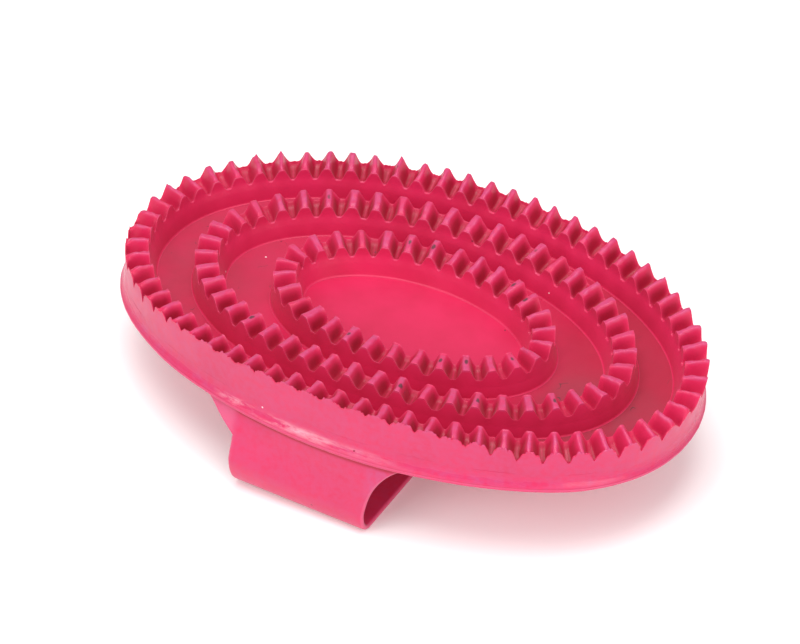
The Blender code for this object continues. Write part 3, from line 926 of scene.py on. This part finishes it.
class COMB_OT_hand_strap(bpy.types.Operator):
    """Adds the flat band that holds the hand and carries the resting comb"""

    bl_idname = "comb.hand_strap"
    bl_label = "Hand Strap"

    def execute(self, context):
        """A band: legs, long round bends and a flat crown as one centre surface, mirrored at the
        middle, given its thickness along the surface normal, with half-round side edges."""
        sizes = context.scene.comb_sizes
        thick = sizes.strap_thickness
        steps, leg_rows, round_steps = 49, 56, 5
        even = np.linspace(-1, 1, steps)[None]
        across = 0.35 * np.sin(even * np.pi / 2) + 0.65 * even
        leg, fold = strap_centre(across, np.linspace(0, 1, leg_rows)[:, None], sizes)
        turn = np.radians(np.linspace(0, 90, 17)[1:])[:, None]
        square = 0.95 - 0.05 * across
        bend_y = leg[-1:, :, 1] + (5.1 - 1.2 * across) * MM * (1 - np.abs(np.cos(turn)) ** square)
        bend_z = 0.5 * thick + (leg[-1:, :, 2] - 0.5 * thick) * (1 - np.sin(turn) ** square)
        bend = np.stack(np.broadcast_arrays(leg[-1:, :, 0], bend_y, bend_z), -1)
        flat_y = bend_y[-1:] * np.linspace(0.97, 0.02, 16)[:, None]
        crown = np.stack(np.broadcast_arrays(leg[-1:, :, 0], flat_y, 0.5 * thick), -1)
        near = np.concatenate([leg, bend, crown])
        centre = np.concatenate([near, near[::-1] * np.array([1, -1, 1])])
        ahead, aside = np.gradient(centre, axis=0), np.gradient(centre, axis=1)
        normal = np.cross(ahead, aside)
        normal /= np.linalg.norm(normal, axis=2, keepdims=True)
        side = aside / np.linalg.norm(aside, axis=2, keepdims=True)
        half = 0.5 * thick
        inside, outside = centre + half * normal, centre - half * normal
        angle = np.radians(np.array([60, 30, 0, -30, -60]))[None, :, None]
        right = centre[:, -1:] + half * (np.sin(angle) * normal[:, -1:] + np.cos(angle) * side[:, -1:])
        left = centre[:, :1] + half * (-np.sin(angle) * normal[:, :1] - np.cos(angle) * side[:, :1])
        points = np.concatenate([inside, right, outside[:, ::-1], left], 1)
        rows, columns = points.shape[:2]
        faces = grid_quads(rows, columns, False, True).tolist()
        first, last = np.arange(columns), (rows - 1) * columns + np.arange(columns)
        faces += [first.tolist(), last[::-1].tolist()]
        points[..., 2] = np.maximum(points[..., 2], 0)
        flare = np.concatenate([fold, np.zeros((len(near) - leg_rows, steps))])
        flare = np.concatenate([flare, flare[::-1]])
        sides = np.zeros((rows, round_steps))
        band = np.concatenate([flare, flare[:, -1:] + sides, flare[:, ::-1], flare[:, :1] + sides], 1)
        edge = np.zeros((rows, columns))
        under, margin = steps + round_steps, 14
        edge[:, steps:under] = 0.6
        edge[:, under + steps :] = 0.6
        for strip in (slice(0, margin), slice(under + steps - margin, under + steps)):
            edge[:, strip] += 0.7 * eased(band[:, strip], 0.03, 0.3)
        # Painted shadow: a dark deep-red line just below the strap's root, where the lip shades the strap;
        # the paler wear colour is taken off along it.
        below_root = np.linspace(0, 1, leg_rows) * REST_DROP
        shadow_under_lip = np.zeros(rows)
        shadow_under_lip[:leg_rows] = 0.9 * np.exp(-(((below_root - 1.3 * MM) / (0.8 * MM)) ** 2))
        shadow_under_lip = np.maximum(shadow_under_lip, shadow_under_lip[::-1])[:, None] + 0 * edge
        # Painted highlight: the webs at the root are painted paler where they face the light; the rest of
        # the band has half the paler colour.
        marks = {
            "wear_and_highlight": (0.5 + 0.5 * eased(band, 0.02, 0.4)) * (1 - shadow_under_lip),
            "burr_and_highlight": edge,
            "painted_shade": shadow_under_lip,
        }
        material = rubber_material("hand_strap_rubber", 0.4, 0.4, 0.3, 0.0)
        skin_piece("hand_strap_skin", points, faces, marks, 40, material, ["hand_strap"])
        return {"FINISHED"}


def studio_light(name, place, size, power, target):
    """A square softbox at a place, turned to face the target."""
    data = bpy.data.lights.new(name, "AREA")
    data.shape = "SQUARE"
    data.size = size
    data.energy = power
    light = bpy.data.objects.new(name, data)
    light.location = place
    light.rotation_euler = (Vector(target) - Vector(place)).to_track_quat("-Z", "Y").to_euler()
    bpy.context.scene.collection.objects.link(light)
    return light


class COMB_OT_studio(bpy.types.Operator):
    """Adds the pale floor, the soft light and the camera"""

    bl_idname = "comb.studio"
    bl_label = "Studio"

    def execute(self, context):
        scene = context.scene
        studio = scene.studio_settings
        mesh = bpy.data.meshes.new("studio_floor")
        corners = [(-3, -3, 0), (3, -3, 0), (3, 3, 0), (-3, 3, 0)]
        mesh.from_pydata(corners, [], [(0, 1, 2, 3)])
        floor = bpy.data.objects.new("studio_floor", mesh)
        scene.collection.objects.link(floor)
        material = bpy.data.materials.new("studio_paper")
        material.use_nodes = True
        shader = material.node_tree.nodes["Principled BSDF"]
        shader.inputs["Base Color"].default_value = (*studio.floor, 1)
        shader.inputs["Roughness"].default_value = 0.9
        shader.inputs["Specular IOR Level"].default_value = 0.1
        shader.inputs["Emission Color"].default_value = (1, 1, 1, 1)
        shader.inputs["Emission Strength"].default_value = studio.glow
        mesh.materials.append(material)

        world = bpy.data.worlds.new("studio_sky")
        world.use_nodes = True
        background = world.node_tree.nodes["Background"]
        background.inputs["Color"].default_value = (1, 1, 1, 1)
        background.inputs["Strength"].default_value = studio.sky
        scene.world = world
        target = (0, 0, 0.025)
        studio_light("key_softbox", (-0.5, -1.2, 0.9), 0.9, studio.key, target)
        studio_light("fill_softbox", (1.3, -0.6, 0.55), 0.9, studio.fill, target)
        studio_light("top_softbox", (0.0, -0.2, 1.3), 0.9, studio.top, target)
        scene.view_settings.view_transform = "Standard"

        azimuth, elevation, roll = 0.5024, 0.6875, 0.0192
        flat = math.cos(elevation)
        back = Vector((math.sin(azimuth) * flat, -math.cos(azimuth) * flat, math.sin(elevation)))
        level = Vector((math.cos(azimuth), math.sin(azimuth), 0))
        upright = back.cross(level)
        right = math.cos(roll) * level + math.sin(roll) * upright
        above = math.cos(roll) * upright - math.sin(roll) * level
        data = bpy.data.cameras.new("studio_camera")
        data.sensor_width = 36
        data.lens = 212.7
        data.clip_start, data.clip_end = 0.05, 20
        camera = bpy.data.objects.new("studio_camera", data)
        spot = back * studio.distance + right * -3.23 * MM + above * 5.08 * MM + Vector((0, 0, REST_DROP))
        turned = Matrix((right, above, back)).transposed().to_4x4()
        camera.matrix_world = Matrix.Translation(spot) @ turned
        scene.collection.objects.link(camera)
        scene.camera = camera
        return {"FINISHED"}


class COMB_PT_panel(bpy.types.Panel):
    """Lists the comb's pieces"""

    bl_idname = "COMB_PT_panel"
    bl_label = "Curry Comb"
    bl_space_type = "VIEW_3D"
    bl_region_type = "UI"
    bl_category = "Curry Comb"

    def draw(self, context):
        for operator in OPERATORS:
            self.layout.operator(operator.bl_idname)
        scene = context.scene
        for settings in (scene.comb_sizes, scene.rubber_colours, scene.studio_settings):
            for name in settings.bl_rna.properties.keys():
                if name not in ("rna_type", "name"):
                    self.layout.prop(settings, name)


OPERATORS = (
    COMB_OT_backing_plate,
    COMB_OT_rim_lip,
    COMB_OT_outer_teeth,
    COMB_OT_inner_teeth,
    COMB_OT_hand_strap,
    COMB_OT_studio,
)
CLASSES = (CombSizes, RubberColours, StudioSettings, *OPERATORS, COMB_PT_panel)


def register():
    for item in CLASSES:
        bpy.utils.register_class(item)
    bpy.types.Scene.comb_sizes = bpy.props.PointerProperty(type=CombSizes)
    bpy.types.Scene.rubber_colours = bpy.props.PointerProperty(type=RubberColours)
    bpy.types.Scene.studio_settings = bpy.props.PointerProperty(type=StudioSettings)


def unregister():
    del bpy.types.Scene.studio_settings
    del bpy.types.Scene.rubber_colours
    del bpy.types.Scene.comb_sizes
    for item in reversed(CLASSES):
        bpy.utils.unregister_class(item)


def main():
    register()
    bpy.ops.comb.studio()
    bpy.ops.comb.backing_plate()
    bpy.ops.comb.rim_lip()
    bpy.ops.comb.outer_teeth()
    bpy.ops.comb.inner_teeth()
    bpy.ops.comb.hand_strap()


if __name__ == "__main__":
    main()
